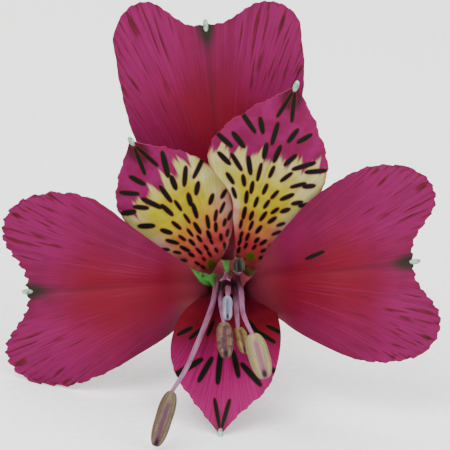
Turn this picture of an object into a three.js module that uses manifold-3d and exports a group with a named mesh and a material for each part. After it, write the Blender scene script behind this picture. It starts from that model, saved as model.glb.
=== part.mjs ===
// One cut flower of a Peruvian lily, lying on its lower side as it comes to rest on a table.
// Millimetres, +Z up. The open face looks towards -Y and a little upwards.
//
// Every organ is first shaped in the flower's own frame: the origin is the top of the ovary,
// z runs out along the flower's axis, y is the upper side of the face and x crosses it.
// The whole flower is then turned and set down on the three points that carry it.

import * as THREE from 'three';
import { ConvexHull } from 'three/addons/math/ConvexHull.js';
import { mergeVertices } from 'three/addons/utils/BufferGeometryUtils.js';
import Module from 'manifold-3d';

const wasm = await Module();
wasm.setup();

const V = (x, y, z) => new THREE.Vector3(x, y, z);
const AXIS = V(0, 0, 1);
const GAP = 0.35; // air left between two organs, so that each one stays a separate solid

// ---- sizes of the flower ------------------------------------------------------------------

const SCALE = 1; // overall size of the flower
const TEPAL_THICKNESS = 0.6;
const TEPAL_ROWS = 15; // faces along a tepal
const TEPAL_COLUMNS = 10; // faces across it

const OVARY_RADIUS = 3.8;
const OVARY_LENGTH = 7.2;
const OVARY_RIBS = 6;

const PEDICEL_RADIUS = 1.15;
const PEDICEL_LENGTH = 17;
const PEDICEL_SWAY = [4.6, -2.6]; // how far its cut end has bent sideways and down

const FILAMENT_RADIUS = 0.42;
const FILAMENT_RING = 1.5; // the six filaments stand on a ring of this radius
const STYLE_RADIUS = 0.42;
const STYLE_LENGTH = 21;
const STIGMA_LENGTH = 2.2;

const MUCRO_LENGTH = 1.4; // the pale horny point at the tip of each tepal
const MUCRO_WIDTH = 0.95;

// Places across half a notched end, as parts of the half width
const NOTCH_EDGE = 0.12; // the notch ends and the lobe begins to rise
const LOBE_TOP = 0.62; // the lobe reaches furthest
const LOBE_END = 1.02; // its round shoulder is all but spent
const CORNER_DROP = 0.6; // the corner falls back behind the notch by this part of the lobe

// ---- tepals -------------------------------------------------------------------------------
// base and turn are the directions, in degrees round the axis, of a tepal's foot and its blade.
// Each station up the midrib is [reach from the axis, rise along it, half width on the
// anticlockwise side, half width on the clockwise side]. lobes is how far each lobe of the end
// runs past the notch, and curl how far each edge lifts towards the viewer where the blade is
// widest, both as [anticlockwise, clockwise].

const OUTER_TEPALS = {
  outer_tepal_top: {
    base: 90,
    turn: 95,
    stations: [
      [2.9, 0.9, 1.1, 1.1],
      [3.3, 6, 1.2, 1.2],
      [5.3, 11, 2.0, 2.0],
      [10, 14.5, 4.8, 5.2],
      [16, 17, 9.2, 9.4],
      [22, 19, 11.7, 12.0],
      [29, 20.5, 12.9, 13.5],
      [36.8, 21, 13.5, 13.5],
    ],
    lobes: [4.0, 2.6],
    curl: [-1.2, -1.2],
  },
  outer_tepal_left: {
    base: 210,
    turn: 183,
    stations: [
      [2.9, 0.9, 1.1, 1.1],
      [3.2, 7, 1.2, 1.2],
      [4.6, 13, 2.2, 1.7],
      [8, 19, 7.0, 4.0],
      [13, 23, 9.9, 8.4],
      [18.5, 24.5, 12.1, 12.4],
      [24, 24.5, 13.4, 13.8],
      [28.6, 23, 13.2, 13.2],
    ],
    lobes: [3.9, 3.2],
    curl: [-1.2, 1.0],
  },
  outer_tepal_right: {
    base: -30,
    turn: 6,
    stations: [
      [2.9, 0.9, 1.1, 1.1],
      [3.2, 7, 1.2, 1.2],
      [4.6, 13, 2.0, 2.4],
      [8, 19, 5.3, 7.6],
      [13, 23, 10.0, 11.0],
      [17.5, 24.5, 12.6, 13.0],
      [22, 24.5, 14.2, 13.8],
      [26.5, 23, 13.9, 13.4],
    ],
    lobes: [4.3, 3.4],
    curl: [1.0, -1.2],
  },
};

const INNER_TEPALS = {
  inner_tepal_left: {
    base: 150,
    turn: 124.5,
    stations: [
      [2.6, 0.9, 1.0, 1.0],
      [2.8, 7, 1.3, 1.3],
      [3.6, 13, 2.8, 3.0],
      [7.5, 17.5, 5.2, 6.2],
      [12, 21, 6.9, 7.5],
      [16.5, 24.5, 7.0, 6.4],
      [20.5, 28, 4.3, 3.3],
      [23.2, 31, 0.8, 0.6],
    ],
    lobes: [0, 0],
    curl: [-1.6, -0.6],
  },
  inner_tepal_right: {
    base: 30,
    turn: 71,
    stations: [
      [2.6, 0.9, 1.0, 1.0],
      [2.8, 7, 1.2, 1.6],
      [4.2, 13, 1.3, 3.0],
      [8.5, 18, 2.2, 5.6],
      [12, 21.5, 3.7, 7.4],
      [15.5, 24.5, 8.0, 8.4],
      [19.8, 28.3, 8.2, 7.7],
      [24.6, 32, 4.4, 4.2],
      [28.2, 34.5, 0.8, 0.7],
    ],
    lobes: [0, 0],
    curl: [0.8, -1.6],
  },
  inner_tepal_lower: {
    base: 270,
    turn: 267,
    stations: [
      [2.6, 0.9, 1.0, 1.0],
      [2.8, 7, 2.4, 1.7],
      [3.8, 14.2, 5.8, 4.0],
      [7, 21, 7.3, 6.8],
      [11, 26, 7.6, 7.6],
      [14.5, 29.5, 6.3, 6.4],
      [17.8, 32, 2.9, 3.2],
      [20.4, 33.5, 0.7, 0.6],
    ],
    lobes: [0, 0],
    curl: [0.2, 1.6],
  },
};

// ---- stamens ------------------------------------------------------------------------------
// foot is the filament's place on the ring in degrees, bend the points it passes through, and
// head and tail the two ends of its anther, which hangs from the filament's tip.

const STAMENS = [
  {
    foot: 180,
    bend: [[-1.8, -1.1, 12], [-2.5, -4.2, 20], [-5.4, -11.0, 34.5]],
    head: [-7.6, -14.5, 42],
    tail: [-9.9, -22.0, 41.5],
    width: 2.5,
  },
  {
    foot: 270,
    bend: [[0, -1.2, 12], [0, -1.5, 20]],
    head: [-0.1, -2.0, 31],
    tail: [-0.1, -5.1, 35],
    width: 1.6,
  },
  {
    foot: 225,
    bend: [[-1.1, -2.1, 12], [-1.0, -3.6, 20]],
    head: [-0.6, -5.7, 28.5],
    tail: [-0.3, -10.5, 32],
    width: 2.4,
  },
  {
    foot: 315,
    bend: [[1.1, -2.1, 12], [1.2, -4.0, 20]],
    head: [1.4, -6.6, 27],
    tail: [2.4, -10.0, 30],
    width: 1.9,
  },
  {
    foot: 0,
    bend: [[1.8, -1.2, 12], [1.9, -1.9, 22], [2.1, -4.4, 30]],
    head: [3.3, -7.0, 36],
    tail: [5.1, -13.0, 38.5],
    width: 3.1,
  },
  {
    foot: 60,
    bend: [[1.5, 0.9, 12]],
    head: [1.6, 1.4, 22.5],
    tail: [1.5, 3.2, 27],
    width: 1.8,
  },
];

// ---- small helpers ------------------------------------------------------------------------

const radians = THREE.MathUtils.degToRad;
const { lerp, smoothstep } = THREE.MathUtils;

// The direction straight out from the axis at an angle round it
function outwards(degrees) {
  return V(Math.cos(radians(degrees)), Math.sin(radians(degrees)), 0);
}

// A smooth curve through plain numbers spread evenly from 0 to 1
function through(values) {
  const curve = new THREE.SplineCurve(values.map((v) => new THREE.Vector2(v, 0)));
  return (t) => curve.getPoint(t).x;
}

// A closed skin over rings of points that all have the same even count
function skin(rings) {
  const count = rings[0].length;
  const index = [];
  for (let i = 0; i + 1 < rings.length; i++) {
    for (let j = 0; j < count; j++) {
      const a = i * count + j;
      const b = i * count + ((j + 1) % count);
      index.push(a, b, a + count, b, b + count, a + count);
    }
  }
  const last = (rings.length - 1) * count;
  for (let j = 0; j + 1 < count / 2; j++) {
    const [a, b, c, d] = [j, j + 1, count - 2 - j, count - 1 - j];
    index.push(a, c, b, a, d, c);
    index.push(last + a, last + b, last + c, last + a, last + c, last + d);
  }
  const geometry = new THREE.BufferGeometry().setFromPoints(rings.flat());
  geometry.setIndex(index);
  if (bulk(geometry).volume < 0) geometry.setIndex(index.toReversed());
  return geometry;
}

// Volume and centre of a closed geometry
function bulk(geometry) {
  const position = geometry.getAttribute('position');
  const { index } = geometry;
  const corner = (i) => V(0, 0, 0).fromBufferAttribute(position, index ? index.getX(i) : i);
  const count = index ? index.count : position.count;
  const moment = V(0, 0, 0);
  let volume = 0;
  for (let i = 0; i < count; i += 3) {
    const [a, b, c] = [corner(i), corner(i + 1), corner(i + 2)];
    const piece = a.dot(V(0, 0, 0).crossVectors(b, c)) / 6;
    volume += piece;
    moment.addScaledVector(a.add(b).add(c), piece / 4);
  }
  return { volume, centre: moment.divideScalar(volume) };
}

// A tube along a smooth curve
function tube(points, radius, steps = 10, sides = 8) {
  const ring = new THREE.Shape();
  for (let i = 0; i < sides; i++) {
    const angle = (2 * Math.PI * i) / sides;
    const [x, y] = [radius * Math.cos(angle), radius * Math.sin(angle)];
    if (i === 0) ring.moveTo(x, y);
    else ring.lineTo(x, y);
  }
  ring.closePath();
  const path = new THREE.CatmullRomCurve3(points);
  return new THREE.ExtrudeGeometry(ring, { extrudePath: path, steps, bevelEnabled: false });
}

// One solid from several that overlap
function unite(geometries) {
  const solids = geometries.map((geometry) => {
    const bare = new THREE.BufferGeometry();
    bare.setAttribute('position', geometry.getAttribute('position'));
    bare.setIndex(geometry.index);
    const merged = mergeVertices(bare, 1e-3);
    const mesh = new wasm.Mesh({
      numProp: 3,
      vertProperties: merged.getAttribute('position').array,
      triVerts: new Uint32Array(merged.index.array),
    });
    return new wasm.Manifold(mesh);
  });
  const joined = wasm.Manifold.union(solids).getMesh();
  const geometry = new THREE.BufferGeometry();
  geometry.setAttribute('position', new THREE.BufferAttribute(joined.vertProperties, 3));
  geometry.setIndex(new THREE.BufferAttribute(joined.triVerts, 1));
  return geometry;
}

// An egg-shaped bead, its long side along a direction
function bead(centre, direction, length, width, sides = 8) {
  const geometry = new THREE.SphereGeometry(0.5, sides, sides - 2);
  geometry.scale(width, length, width);
  geometry.applyQuaternion(new THREE.Quaternion().setFromUnitVectors(V(0, 1, 0), direction));
  return geometry.translate(centre.x, centre.y, centre.z);
}

// ---- organs -------------------------------------------------------------------------------

// How far a notched end has risen at a part of the half width: a round lobe beside the notch
function lobeRise(part) {
  const shoulder = Math.max(0, part - LOBE_TOP) / (LOBE_END - LOBE_TOP);
  const lobe = smoothstep(part, NOTCH_EDGE, LOBE_TOP) * Math.sqrt(1 - shoulder ** 2);
  return lobe - CORNER_DROP * shoulder ** 3;
}

// A tepal is one thin curved sheet that ends in a mucro, except on the plain green bract
function tepal(spec, mucroLength = MUCRO_LENGTH) {
  const midrib = spec.stations.map(([reach, rise]) => new THREE.Vector2(reach, rise));
  const widths = spec.stations.map((station) => new THREE.Vector2(station[2], station[3]));
  const spine = new THREE.SplineCurve(midrib);
  const sides = new THREE.SplineCurve(widths);
  const widest = Math.max(...widths.map((w) => w.x), ...widths.map((w) => w.y));

  const middle = (s, t) => {
    const out = outwards(lerp(spec.base, spec.turn, smoothstep(s, 0, 0.4)));
    const across = V(0, 0, 0).crossVectors(AXIS, out);
    const { x: reach, y: rise } = spine.getPoint(s);
    const along = spine.getTangent(s);
    const forward = out.clone().multiplyScalar(along.x).addScaledVector(AXIS, along.y);
    const facing = out.clone().multiplyScalar(-along.y).addScaledVector(AXIS, along.x);
    const half = t > 0 ? sides.getPoint(s).x : sides.getPoint(s).y;
    const curl = t > 0 ? spec.curl[0] : spec.curl[1];
    const lobe = t > 0 ? spec.lobes[0] : spec.lobes[1];
    return out
      .multiplyScalar(reach)
      .addScaledVector(AXIS, rise)
      .addScaledVector(across, t * half)
      .addScaledVector(facing, (curl * t * t * half) / widest)
      .addScaledVector(forward, lobe * lobeRise(Math.abs(t)) * smoothstep(s, 0.5, 1));
  };

  const step = 0.02;
  const facing = (s, t) => {
    const [s0, s1] = [Math.max(0, s - step), Math.min(1, s + step)];
    const [t0, t1] = [Math.max(-1, t - step), Math.min(1, t + step)];
    const forward = middle(s1, t).sub(middle(s0, t));
    const across = middle(s, t1).sub(middle(s, t0));
    return forward.cross(across).normalize();
  };

  const rings = [];
  for (let i = 0; i <= TEPAL_ROWS; i++) {
    const s = i / TEPAL_ROWS;
    const columns = Array.from({ length: TEPAL_COLUMNS + 1 }, (_, j) => -1 + (2 * j) / TEPAL_COLUMNS);
    const face = (t, side) => middle(s, t).addScaledVector(facing(s, t), (side * TEPAL_THICKNESS) / 2);
    rings.push([...columns.map((t) => face(t, 1)), ...columns.toReversed().map((t) => face(t, -1))]);
  }
  const sheet = skin(rings);
  if (!mucroLength) return sheet;
  const tip = middle(1, 0);
  const forward = tip.clone().sub(middle(0.97, 0)).normalize();
  tip.addScaledVector(forward, 0.2 * mucroLength);
  return unite([sheet, bead(tip, forward, mucroLength, MUCRO_WIDTH)]);
}

// The ovary sits below the tepals: a ribbed green capsule that narrows to the stalk
function ovary() {
  const outline = [0.42, 0.72, 0.96, 1.0, 0.98, 0.9];
  const width = through(outline);
  const rings = [];
  for (let i = 0; i <= 10; i++) {
    const ring = [];
    for (let j = 0; j < 36; j++) {
      const angle = (2 * Math.PI * j) / 36;
      const radius = OVARY_RADIUS * width(i / 10) * (1 + 0.07 * Math.cos(OVARY_RIBS * angle));
      ring.push(V(radius * Math.cos(angle), radius * Math.sin(angle), OVARY_LENGTH * (i / 10 - 1) + GAP));
    }
    rings.push(ring);
  }
  return skin(rings);
}

function pedicel() {
  const top = -OVARY_LENGTH - GAP;
  const [x, y] = PEDICEL_SWAY;
  const bend = (part) => V(x * part ** 1.6, y * part ** 1.6, top - PEDICEL_LENGTH * part);
  return tube([0, 0.25, 0.5, 0.75, 1].map(bend), PEDICEL_RADIUS, 10, 12);
}

// An anther is two long pollen sacs side by side, so its section has a groove on each face
function anther({ head, tail, width }) {
  const from = V(...head);
  const axis = V(...tail).sub(from);
  const length = axis.length();
  const forward = axis.normalize();
  const across = V(1, 0, 0).addScaledVector(forward, -forward.x).normalize();
  const facing = across.clone().cross(forward);
  const rings = [];
  for (let i = 0; i <= 8; i++) {
    const along = (1 - Math.cos((Math.PI * (i + 0.35)) / 8.7)) / 2;
    const swell = Math.sin((Math.PI * (i + 0.35)) / 8.7) ** 0.6;
    const ring = [];
    for (let j = 0; j < 12; j++) {
      const angle = (2 * Math.PI * j) / 12;
      const radius = (width / 2) * swell * (1 - 0.22 * Math.sin(angle) ** 4);
      ring.push(
        from
          .clone()
          .addScaledVector(forward, along * length)
          .addScaledVector(across, radius * Math.cos(angle))
          .addScaledVector(facing, radius * Math.sin(angle)),
      );
    }
    rings.push(ring);
  }
  return skin(rings);
}

// A filament runs from the floor of the flower to just short of its anther
function filament({ foot, bend, head, tail }) {
  const start = outwards(foot).multiplyScalar(FILAMENT_RING).setZ(2 * GAP);
  const end = V(...head);
  const away = end.clone().sub(V(...tail)).normalize();
  end.addScaledVector(away, FILAMENT_RADIUS + GAP);
  return tube([start, ...bend.map((p) => V(...p)), end], FILAMENT_RADIUS, 12, 8);
}

// The style stands on the middle of the ovary and ends in three short stigma arms
function style() {
  const top = V(-0.4, 0.5, STYLE_LENGTH);
  const stalk = tube([V(0, 0, 2 * GAP), V(0.1, 0.3, STYLE_LENGTH / 2), top], STYLE_RADIUS, 8, 8);
  const arms = [90, 210, 330].map((angle) => {
    const direction = outwards(angle).multiplyScalar(0.45).add(AXIS).normalize();
    const centre = top.clone().addScaledVector(direction, 0.35 * STIGMA_LENGTH);
    return bead(centre, direction, STIGMA_LENGTH, 1.3 * STYLE_RADIUS, 8);
  });
  return unite([stalk, ...arms]);
}

const BRACT_STAND_OFF = 1.05; // from the ovary's widest ring to the middle of the bract

const BRACT = {
  base: 172,
  turn: 172,
  stations: [
    [PEDICEL_RADIUS + 0.55, -8.6, 0.7, 0.7],
    [OVARY_RADIUS + 0.4, -6.0, 1.5, 1.5],
    [OVARY_RADIUS + BRACT_STAND_OFF, -1.5, 2.4, 2.4],
    [OVARY_RADIUS + 1.6, 2.5, 1.9, 1.9],
    [OVARY_RADIUS + 2.3, 6.0, 0.4, 0.4],
  ],
  lobes: [0, 0],
  curl: [0.5, 0.5],
};

// ---- the flower ---------------------------------------------------------------------------

const flower = new THREE.Group();
flower.name = 'peruvian_lily_flower';

function add(name, geometry, color, roughness) {
  const material = new THREE.MeshStandardMaterial({ color, roughness, metalness: 0 });
  material.name = name;
  const mesh = new THREE.Mesh(geometry, material);
  mesh.name = name;
  flower.add(mesh);
}

add('pedicel', pedicel(), 0x6f9a45, 0.6);
add('ovary', ovary(), 0x5fa04a, 0.5);
add('bract', tepal(BRACT, 0), 0x4aa153, 0.5);
for (const [name, spec] of Object.entries(OUTER_TEPALS)) add(name, tepal(spec), 0xa8305f, 0.5);
for (const [name, spec] of Object.entries(INNER_TEPALS)) add(name, tepal(spec), 0xb03a6a, 0.5);
STAMENS.forEach((stamen, i) => {
  add(`filament_${i + 1}`, filament(stamen), 0xaa5f8a, 0.5);
  add(`anther_${i + 1}`, anther(stamen), 0x8f7d5c, 0.8);
});
add('style', style(), 0xb070a0, 0.5);

// ---- setting it down ----------------------------------------------------------------------

// The turn that lays the flower on the three points of its lower side that carry its weight
function lay(meshes) {
  const hull = new ConvexHull();
  const cloud = [];
  const balance = V(0, 0, 0);
  let total = 0;
  for (const { geometry } of meshes) {
    const position = geometry.getAttribute('position');
    for (let i = 0; i < position.count; i++) cloud.push(V(0, 0, 0).fromBufferAttribute(position, i));
    const { volume, centre } = bulk(geometry);
    balance.addScaledVector(centre, volume);
    total += volume;
  }
  balance.divideScalar(total);
  hull.setFromPoints(cloud);

  const corners = ({ edge }) => [edge, edge.next, edge.prev].map((side) => side.head().point);
  const carries = (face) => {
    const [a, b, c] = corners(face);
    const under = balance.clone().addScaledVector(face.normal, -face.distanceToPoint(balance));
    return new THREE.Triangle(a, b, c).containsPoint(under);
  };
  const lowest = hull.faces.filter(carries).sort((a, b) => a.normal.y - b.normal.y)[0];
  const down = new THREE.Quaternion().setFromUnitVectors(lowest.normal, V(0, 0, -1));
  const axis = AXIS.clone().applyQuaternion(down);
  const swing = -Math.PI / 2 - Math.atan2(axis.y, axis.x);
  return new THREE.Quaternion().setFromAxisAngle(V(0, 0, 1), swing).multiply(down);
}

const turn = lay(flower.children);
for (const { geometry } of flower.children) geometry.applyQuaternion(turn).scale(SCALE, SCALE, SCALE);

const room = new THREE.Box3().setFromObject(flower, true);
const middle = room.getCenter(V(0, 0, 0));
for (const { geometry } of flower.children) geometry.translate(-middle.x, -middle.y, -room.min.z);

export default flower;
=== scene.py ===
import math

import bpy
import numpy as np
from mathutils import Matrix, Vector


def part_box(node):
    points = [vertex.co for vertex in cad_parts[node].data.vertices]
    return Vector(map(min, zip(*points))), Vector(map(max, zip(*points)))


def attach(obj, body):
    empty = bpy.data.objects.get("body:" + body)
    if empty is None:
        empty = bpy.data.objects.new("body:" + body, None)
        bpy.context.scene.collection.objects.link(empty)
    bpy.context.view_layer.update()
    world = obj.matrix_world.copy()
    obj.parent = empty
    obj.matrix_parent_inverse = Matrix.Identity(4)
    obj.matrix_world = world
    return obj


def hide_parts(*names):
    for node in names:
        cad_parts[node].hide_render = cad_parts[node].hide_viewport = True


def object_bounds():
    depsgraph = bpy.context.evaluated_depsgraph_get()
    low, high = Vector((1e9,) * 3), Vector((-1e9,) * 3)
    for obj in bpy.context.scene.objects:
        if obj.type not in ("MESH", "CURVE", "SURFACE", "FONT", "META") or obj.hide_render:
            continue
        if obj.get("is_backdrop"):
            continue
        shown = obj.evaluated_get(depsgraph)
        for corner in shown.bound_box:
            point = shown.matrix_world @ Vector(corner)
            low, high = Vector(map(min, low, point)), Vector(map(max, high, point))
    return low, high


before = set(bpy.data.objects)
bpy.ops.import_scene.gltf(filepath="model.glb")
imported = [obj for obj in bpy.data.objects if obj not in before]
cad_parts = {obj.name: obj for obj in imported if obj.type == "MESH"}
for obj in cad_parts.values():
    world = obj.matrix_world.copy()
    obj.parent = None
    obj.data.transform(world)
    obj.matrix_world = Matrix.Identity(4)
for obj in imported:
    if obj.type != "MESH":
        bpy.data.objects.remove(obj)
bounds_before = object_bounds()

# ---- how the flower lies --------------------------------------------------------------------
# A cut Peruvian lily lying on its lower side. Every organ is shaped in the flower's own frame,
# in millimetres: z runs out along its axis from the top of the ovary, y is the upper side of the
# face. The six pollen sacs of the solid model show how that frame lies on the table.

# The two ends of each anther, from its filament's tip to its free end, and its width
ANTHERS = [
    ((-7.6, -14.5, 42), (-9.9, -22.0, 41.5), 2.5),
    ((-0.1, -2.0, 31), (-0.1, -5.1, 35), 1.6),
    ((-0.6, -5.7, 28.5), (-0.3, -10.5, 32), 2.4),
    ((1.4, -6.6, 27), (2.4, -10.0, 30), 1.9),
    ((3.3, -7.0, 36), (5.1, -13.0, 38.5), 3.1),
    ((1.6, 1.4, 22.5), (1.5, 3.2, 27), 1.8),
]
MM = 0.001


def flower_to_table():
    """The matrix that carries flower millimetres to table metres, by least squares."""
    here = np.array([(np.array(head) + tail) / 2 for head, tail, _ in ANTHERS]) * MM
    boxes = [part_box(f"anther_{i + 1}") for i in range(len(ANTHERS))]
    there = np.array([(np.array(low) + high) / 2 for low, high in boxes])
    u, _, vt = np.linalg.svd((here - here.mean(0)).T @ (there - there.mean(0)))
    flip = np.diag([1, 1, np.sign(np.linalg.det(vt.T @ u.T))])
    turn = vt.T @ flip @ u.T
    shift = there.mean(0) - turn @ here.mean(0)
    return Matrix.Translation(Vector(shift)) @ Matrix(turn.tolist()).to_4x4() @ Matrix.Scale(MM, 4)


TO_TABLE = flower_to_table()

# ---- tepals: shared shape and skin ----------------------------------------------------------
# Six petal-like tepals stand in two rings on the ovary. Each is a living sheet under half a
# millimetre thick: a narrow claw at the foot, a broad veined blade, and a horny point at the tip.

SHEET_THICKNESS = 0.45
RIM_THICKNESS = 0.12
MUCRO_LENGTH = 1.8
MUCRO_WIDTH = 0.78
VEIN_ORIGIN = 6.0  # the veins fan out from a point this far below the foot
VEIN_SPLAY = 1.7  # 1 would be straight rays, and more bends them away from the midrib

# Places across half a notched end, as parts of the half width: the notch ends and the lobe begins,
# the lobe reaches furthest, and its round shoulder is all but spent
NOTCH_EDGE, LOBE_TOP, LOBE_END = 0.12, 0.62, 1.02
CORNER_DROP = 0.6  # the corner falls back behind the notch by this part of the lobe

RIPPLES = 17  # how tightly the margins ripple, in radians from foot to tip
TEETH = 4.6  # how closely the teeth of a notched end stand, in radians to a millimetre
NICKS = 85  # how closely the nicks of a margin stand, in radians from foot to tip


def spline(rows, s):
    """Values at s, from 0 to 1, on a smooth curve through evenly spread rows."""
    rows = np.asarray(rows, float).reshape(len(rows), -1)
    x = np.clip(s, 0, 1) * (len(rows) - 1)
    i = np.minimum(x.astype(int), len(rows) - 2)
    f = (x - i)[..., None]
    a, b, c, d = (rows[np.clip(i + k, 0, len(rows) - 1)] for k in (-1, 0, 1, 2))
    return b + 0.5 * f * (c - a + f * (2 * a - 5 * b + 4 * c - d + f * (3 * b - 3 * c + d - a)))


def smoothstep(x, low, high):
    x = np.clip((x - low) / (high - low), 0, 1)
    return x * x * (3 - 2 * x)


def unit(v):
    return v / np.maximum(np.linalg.norm(v, axis=-1, keepdims=True), 1e-9)


def noise_line(x, seed, octaves=((1.0, 1.0), (2.3, 0.5), (5.1, 0.25))):
    """A wandering value between about -1 and 1 along x, the same every time for one seed."""
    rng = np.random.default_rng(seed)
    return sum(a * np.sin(k * x + rng.uniform(0, 2 * np.pi)) for k, a in octaves) / 1.3


def blade(spec, s, t):
    """Points of a tepal's middle layer: s runs from foot to tip, t from the right edge to the left."""
    reach, rise, left, right = np.moveaxis(spline(spec["stations"], s), -1, 0)
    step = 1e-3
    ahead = spline(spec["stations"], np.minimum(s + step, 1))
    behind = spline(spec["stations"], np.maximum(s - step, 0))
    along = unit((ahead - behind)[..., :2])
    angle = np.radians(spec["base"] + (spec["turn"] - spec["base"]) * smoothstep(s, 0, 0.4))
    zero, one = np.zeros_like(angle), np.ones_like(angle)
    out = np.stack([np.cos(angle), np.sin(angle), zero], -1)
    across = np.stack([-np.sin(angle), np.cos(angle), zero], -1)
    axis = np.stack([zero, zero, one], -1)
    forward = out * along[..., :1] + axis * along[..., 1:]
    facing = axis * along[..., :1] - out * along[..., 1:]
    widest = max(max(row[2:]) for row in spec["stations"])
    half = np.where(t > 0, left, right)
    curl = np.where(t > 0, *spec["curl"]) * t * t * half / widest
    curl = curl - spec["groove"] * np.exp(-((t * half / 1.1) ** 2)) * smoothstep(s, 0.1, 0.4)
    ripple = spec["ripple"] * np.sin(s * RIPPLES + np.sign(t) + spec["turn"]) * np.abs(t) ** 3
    curl = curl + ripple * smoothstep(s, 0.45, 0.9)
    shoulder = np.maximum(np.abs(t) - LOBE_TOP, 0) / (LOBE_END - LOBE_TOP)
    rise_of_lobe = smoothstep(np.abs(t), NOTCH_EDGE, LOBE_TOP) * np.sqrt(1 - shoulder**2)
    rise_of_lobe = rise_of_lobe - CORNER_DROP * shoulder**3
    lobe = np.where(t > 0, *spec["lobes"]) * rise_of_lobe * smoothstep(s, 0.5, 1)
    teeth = noise_line(t * half * TEETH, int(abs(spec["turn"])))
    ragged = spec["ragged"] * teeth * smoothstep(s, 0.9, 1) * smoothstep(half, 1, 4)
    nick = spec["ragged"] * noise_line(s * NICKS, int(abs(spec["turn"])) + 7)
    nick = nick * smoothstep(s, 0.55, 0.85) * smoothstep(half, 1, 3)
    return (
        out * reach[..., None]
        + axis * rise[..., None]
        + across * (t * half + np.sign(t) * 0.6 * nick * np.abs(t) ** 8)[..., None]
        + facing * curl[..., None]
        + forward * (lobe + ragged)[..., None]
    )


def ring_faces(rows, count):
    """Quads that join rows of closed rings, and a ladder of quads over each end."""
    i, j = np.meshgrid(np.arange(rows - 1), np.arange(count), indexing="ij")
    k = (j + 1) % count
    sides = np.stack([i * count + j, i * count + k, (i + 1) * count + k, (i + 1) * count + j], -1)
    n = np.arange(count // 2 - 1)
    foot = np.stack([n, count - 1 - n, count - 2 - n, n + 1], -1)
    tip = (rows - 1) * count + np.stack([n, n + 1, count - 2 - n, count - 1 - n], -1)
    return np.concatenate([sides.reshape(-1, 4), foot, tip])


def make_object(name, points, faces, materials, slots=None, values=None):
    """A smooth mesh object on the table from flower-frame points."""
    mesh = bpy.data.meshes.new(name)
    mesh.from_pydata([tuple(p) for p in points.reshape(-1, 3)], [], [tuple(f) for f in faces])
    for key, data in (values or {}).items():
        kind = "FLOAT" if data.ndim == 1 else "FLOAT_VECTOR"
        field = "value" if data.ndim == 1 else "vector"
        layer = mesh.attributes.new(key, kind, "POINT")
        layer.data.foreach_set(field, data.astype(np.float32).ravel())
    for material in materials:
        mesh.materials.append(material)
    if slots is not None:
        mesh.polygons.foreach_set("material_index", slots.astype(np.int32))
    mesh.transform(TO_TABLE)
    mesh.polygons.foreach_set("use_smooth", np.ones(len(mesh.polygons), bool))
    mesh.update()
    made = bpy.data.objects.new(name, mesh)
    bpy.context.scene.collection.objects.link(made)
    return made


def egg(centre, direction, length, width, rows=18, count=20, blunt=0.75):
    """Rings of a long bead, fullest behind its middle."""
    direction = unit(np.array(direction, float))
    side = unit(np.cross(direction, [0.3, 1, 0.2]))
    other = np.cross(direction, side)
    angle = np.linspace(0, math.pi, rows)[:, None]
    around = np.linspace(0, 2 * math.pi, count, endpoint=False)[None, :]
    radius = width / 2 * np.maximum(np.sin(angle), 0.02) ** blunt
    along = -length / 2 * np.cos(angle)
    return (
        np.array(centre)
        + direction * along[..., None]
        + side * (radius * np.cos(around))[..., None]
        + other * (radius * np.sin(around))[..., None]
    )


def make_tepal(name, spec, materials, marks, rows=170, columns=116, mucro_length=MUCRO_LENGTH):
    """One tepal with its mucro. marks(reach, offset, s, t) gives the skin's painted values."""
    s = np.linspace(0, 1, rows)[:, None] * np.ones((1, columns + 1))
    t = np.linspace(-1, 1, columns + 1)[None, :] * np.ones((rows, 1))
    middle = blade(spec, s, t)
    step = 2e-3
    ahead = blade(spec, np.minimum(s + step, 1), t) - blade(spec, np.maximum(s - step, 0), t)
    aside = blade(spec, s, np.minimum(t + step, 1)) - blade(spec, s, np.maximum(t - step, -1))
    facing = unit(np.cross(ahead, aside))
    thin = (np.abs(t) ** 6 + smoothstep(s, 0.93, 1)).clip(0, 1)
    half = (SHEET_THICKNESS + (RIM_THICKNESS - SHEET_THICKNESS) * thin)[..., None] / 2
    front, back = middle + facing * half, (middle - facing * half)[:, ::-1]
    rings = np.concatenate([front, back], 1)
    count = rings.shape[1]
    faces = ring_faces(rows, count)[:, ::-1]

    turn = math.radians(spec["turn"])
    reach = middle[..., 0] * math.cos(turn) + middle[..., 1] * math.sin(turn)
    offset = middle[..., 1] * math.cos(turn) - middle[..., 0] * math.sin(turn)
    painted = marks(reach, offset, s, t)
    both = {key: np.concatenate([v, v[:, ::-1]], 1).ravel() for key, v in painted.items()}
    both["front"] = np.concatenate([np.ones_like(s), np.zeros_like(s)], 1).ravel()

    tip = blade(spec, np.array([[1.0]]), np.array([[0.0]]))[0, 0]
    root = blade(spec, np.array([[0.96]]), np.array([[0.0]]))[0, 0]
    point = unit(tip - root)
    broad = MUCRO_WIDTH * mucro_length / MUCRO_LENGTH
    mucro = egg(tip + point * spec.get("mucro_out", 0.3), point, mucro_length, broad)
    extra = ring_faces(*mucro.shape[:2]) + rings.shape[0] * count
    size = mucro.shape[0] * mucro.shape[1]
    values = {key: np.concatenate([v, np.zeros(size)]) for key, v in both.items()}
    s_ring = np.concatenate([s, s], 1).ravel()
    splay = offset / (reach + VEIN_ORIGIN) ** VEIN_SPLAY
    splay = splay / np.abs(splay[-rows // 4 :]).max()
    vein_ring = np.concatenate([splay, splay[:, ::-1]], 1).ravel()
    fan = np.stack([vein_ring, s_ring, both["front"]], -1)
    values["fan"] = np.concatenate([fan, np.zeros((size, 3))])
    points = np.concatenate([rings.reshape(-1, 3), mucro.reshape(-1, 3)])
    slots = np.concatenate([np.zeros(len(faces)), np.ones(len(extra))])
    made = make_object(name, points, np.concatenate([faces, extra]), materials, slots, values)
    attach(made, "root")
    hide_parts(name)
    return made


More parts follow.
